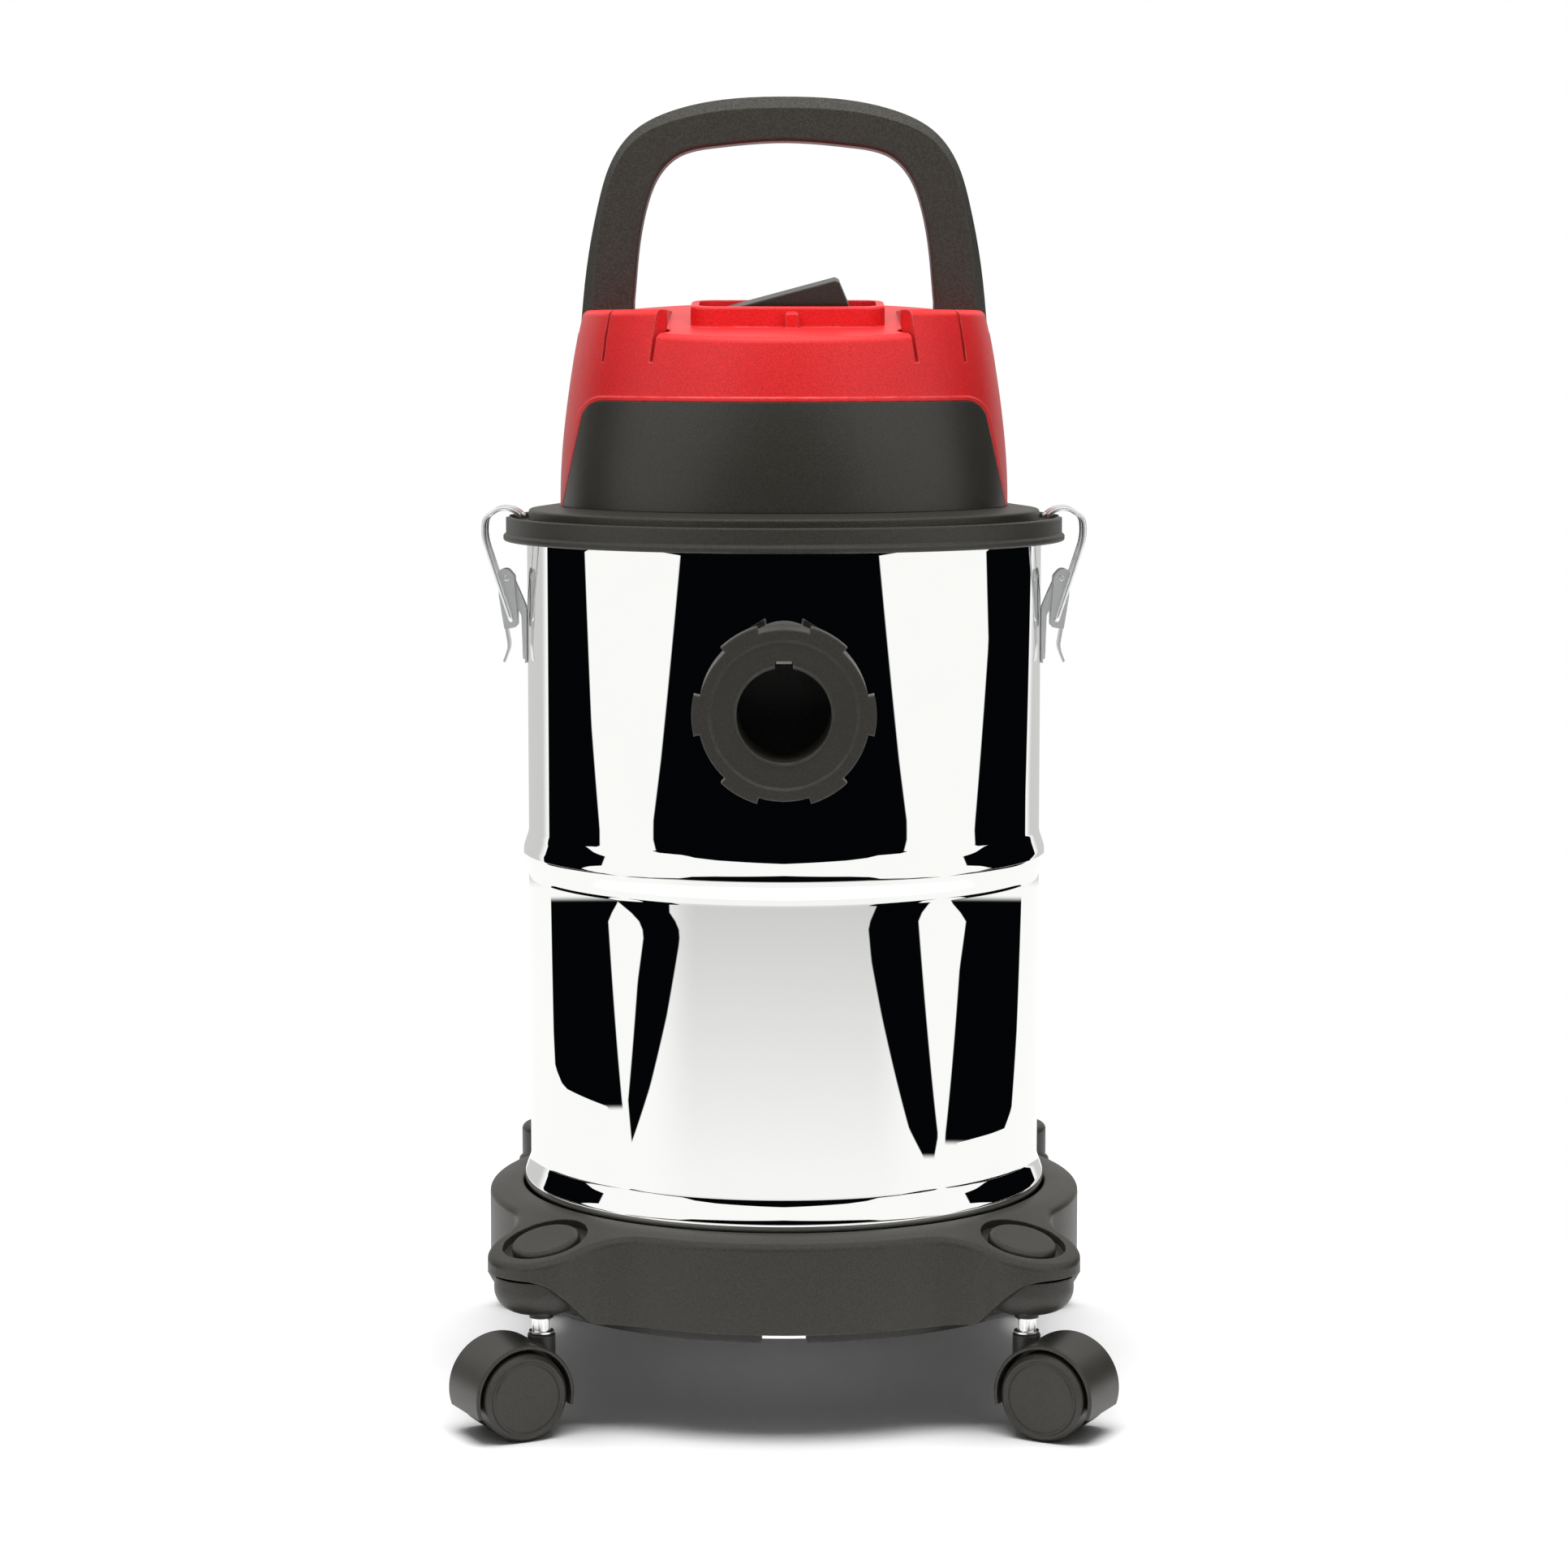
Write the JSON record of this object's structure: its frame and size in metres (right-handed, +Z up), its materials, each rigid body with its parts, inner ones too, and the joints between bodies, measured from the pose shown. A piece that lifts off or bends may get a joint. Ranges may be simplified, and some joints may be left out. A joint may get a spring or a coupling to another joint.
{
  "type": "shop vacuum",
  "caption": "Upright wet and dry shop vacuum: steel drum with a front hose inlet on a caster dolly, latched motor head with a rocker switch and a fixed carrying handle.",
  "frame": {"origin": "on the floor, on the drum's vertical axis, which is the middle of the footprint at rest", "axes": "+Z up, -Y to the front where the hose inlet points, +X to the right as seen from the front"},
  "size_m": [0.3646, 0.3557, 0.7252],
  "materials": {
    "mirror_steel": "mirror-polished stainless steel",
    "red_plastic": "satin moulded plastic with a fine grain",
    "black_plastic": "satin moulded plastic with a fine grain",
    "handle_plastic": "textured moulded plastic",
    "panel_plastic": "satin moulded plastic",
    "switch_plastic": "satin moulded plastic",
    "zinc": "bright zinc-plated steel",
    "bright_steel": "bright steel",
    "caster_plastic": "satin nylon",
    "rubber": "matte rubber",
    "grey_plastic": "satin moulded plastic",
    "ball_plastic": "smooth moulded plastic",
    "filter_paper": "pleated filter paper",
    "aluminium": "pressed sheet",
    "motor_iron": "laminated iron",
    "carbon": "carbon"
  },
  "bodies": {
    "vacuum": {"base_clip": "bright_steel", "cable_gland": "black_plastic", "cartridge_filter": "filter_paper", "caster_sockets": "black_plastic", "caster_stems": "bright_steel", "dolly": "black_plastic", "dolly_base_ring": "black_plastic", "exhaust_grille": "black_plastic", "fan_housing": "bright_steel", "filter_retainer": "grey_plastic", "float_cage": "grey_plastic", "front_panel": "panel_plastic", "handle": "handle_plastic", "handle_screws": "bright_steel", "head_cover": "red_plastic", "hose_key_clip": "bright_steel", "housing_screws": "bright_steel", "inlet_elbow": "grey_plastic", "inlet_flange": "black_plastic", "inlet_gasket": "rubber", "inlet_screws": "bright_steel", "latch_base_left": "zinc", "latch_base_right": "zinc", "latch_pins": "zinc", "latch_rivets": "zinc", "leg_caps": "black_plastic", "lid": "black_plastic", "lid_gasket": "rubber", "motor_bearings": "bright_steel", "motor_bridge": "grey_plastic", "motor_brushes": "carbon", "motor_gasket": "rubber", "motor_stator": "motor_iron", "switch_body": "switch_plastic", "tank_floor": "mirror_steel", "tank_shell": "mirror_steel"},
    "swivel_front_left": {"caster_hood_front_left": "caster_plastic", "caster_axle_front_left": "bright_steel"},
    "wheel_front_left_a": {"caster_wheel_front_left_a": "caster_plastic"},
    "wheel_front_left_b": {"caster_wheel_front_left_b": "caster_plastic"},
    "swivel_front_right": {"caster_hood_front_right": "caster_plastic", "caster_axle_front_right": "bright_steel"},
    "wheel_front_right_a": {"caster_wheel_front_right_a": "caster_plastic"},
    "wheel_front_right_b": {"caster_wheel_front_right_b": "caster_plastic"},
    "swivel_rear_left": {"caster_hood_rear_left": "caster_plastic", "caster_axle_rear_left": "bright_steel"},
    "wheel_rear_left_a": {"caster_wheel_rear_left_a": "caster_plastic"},
    "wheel_rear_left_b": {"caster_wheel_rear_left_b": "caster_plastic"},
    "swivel_rear_right": {"caster_hood_rear_right": "caster_plastic", "caster_axle_rear_right": "bright_steel"},
    "wheel_rear_right_a": {"caster_wheel_rear_right_a": "caster_plastic"},
    "wheel_rear_right_b": {"caster_wheel_rear_right_b": "caster_plastic"},
    "lever_left": {"latch_lever_left": "zinc"},
    "bail_left": {"latch_bail_left": "zinc"},
    "lever_right": {"latch_lever_right": "zinc"},
    "bail_right": {"latch_bail_right": "zinc"},
    "rocker": {"switch_rocker": "switch_plastic"},
    "rotor": {"motor_rotor": "motor_iron", "impeller": "aluminium"},
    "float": {"float_ball": "ball_plastic"}
  },
  "joints": [
    {"name": "swivel_front_left", "type": "hinge", "parent": "vacuum", "child": "swivel_front_left", "pos_m": [-0.132, -0.132, 0.0535], "axis": [0, 0, 1], "continuous": true},
    {"name": "roll_front_left_a", "type": "hinge", "parent": "swivel_front_left", "child": "wheel_front_left_a", "pos_m": [-0.14804, -0.14017, 0.024], "axis": [0.454, -0.891, 0], "continuous": true},
    {"name": "roll_front_left_b", "type": "hinge", "parent": "swivel_front_left", "child": "wheel_front_left_b", "pos_m": [-0.14804, -0.14017, 0.024], "axis": [0.454, -0.891, 0], "continuous": true},
    {"name": "swivel_front_right", "type": "hinge", "parent": "vacuum", "child": "swivel_front_right", "pos_m": [0.132, -0.132, 0.0535], "axis": [0, 0, 1], "continuous": true},
    {"name": "roll_front_right_a", "type": "hinge", "parent": "swivel_front_right", "child": "wheel_front_right_a", "pos_m": [0.14804, -0.14017, 0.024], "axis": [0.454, 0.891, 0], "continuous": true},
    {"name": "roll_front_right_b", "type": "hinge", "parent": "swivel_front_right", "child": "wheel_front_right_b", "pos_m": [0.14804, -0.14017, 0.024], "axis": [0.454, 0.891, 0], "continuous": true},
    {"name": "swivel_rear_left", "type": "hinge", "parent": "vacuum", "child": "swivel_rear_left", "pos_m": [-0.132, 0.132, 0.0535], "axis": [0, 0, 1], "continuous": true},
    {"name": "roll_rear_left_a", "type": "hinge", "parent": "swivel_rear_left", "child": "wheel_rear_left_a", "pos_m": [-0.14538, 0.14404, 0.024], "axis": [-0.6691, -0.7431, 0], "continuous": true},
    {"name": "roll_rear_left_b", "type": "hinge", "parent": "swivel_rear_left", "child": "wheel_rear_left_b", "pos_m": [-0.14538, 0.14404, 0.024], "axis": [-0.6691, -0.7431, 0], "continuous": true},
    {"name": "swivel_rear_right", "type": "hinge", "parent": "vacuum", "child": "swivel_rear_right", "pos_m": [0.132, 0.132, 0.0535], "axis": [0, 0, 1], "continuous": true},
    {"name": "roll_rear_right_a", "type": "hinge", "parent": "swivel_rear_right", "child": "wheel_rear_right_a", "pos_m": [0.14538, 0.14404, 0.024], "axis": [-0.6691, 0.7431, 0], "continuous": true},
    {"name": "roll_rear_right_b", "type": "hinge", "parent": "swivel_rear_right", "child": "wheel_rear_right_b", "pos_m": [0.14538, 0.14404, 0.024], "axis": [-0.6691, 0.7431, 0], "continuous": true},
    {"name": "latch_left", "type": "hinge", "parent": "vacuum", "child": "lever_left", "pos_m": [-0.1565, 0, 0.457], "axis": [0, 1, 0], "range_deg": [0, 90]},
    {"name": "bail_left", "type": "hinge", "parent": "lever_left", "child": "bail_left", "pos_m": [-0.154, 0, 0.4335], "axis": [0, 1, 0], "range_deg": [-64, 0]},
    {"name": "latch_right", "type": "hinge", "parent": "vacuum", "child": "lever_right", "pos_m": [0.1565, 0, 0.457], "axis": [0, -1, 0], "range_deg": [0, 90]},
    {"name": "bail_right", "type": "hinge", "parent": "lever_right", "child": "bail_right", "pos_m": [0.154, 0, 0.4335], "axis": [0, -1, 0], "range_deg": [-64, 0]},
    {"name": "power_rocker", "type": "hinge", "parent": "vacuum", "child": "rocker", "pos_m": [0.002, -0.03109, 0.60066], "axis": [0, 0.996, 0.0896], "range_deg": [0, 30]},
    {"name": "motor_spin", "type": "hinge", "parent": "vacuum", "child": "rotor", "pos_m": [0, 0, 0.52], "axis": [0, 0, 1], "continuous": true},
    {"name": "float_rise", "type": "slide", "parent": "vacuum", "child": "float", "axis": [0, 0, 1], "range_m": [0, 0.028]}
  ],
  "couplings": [
    {"joint": "bail_left", "follows": "latch_left", "ratio": -0.7},
    {"joint": "bail_right", "follows": "latch_right", "ratio": -0.7}
  ]
}
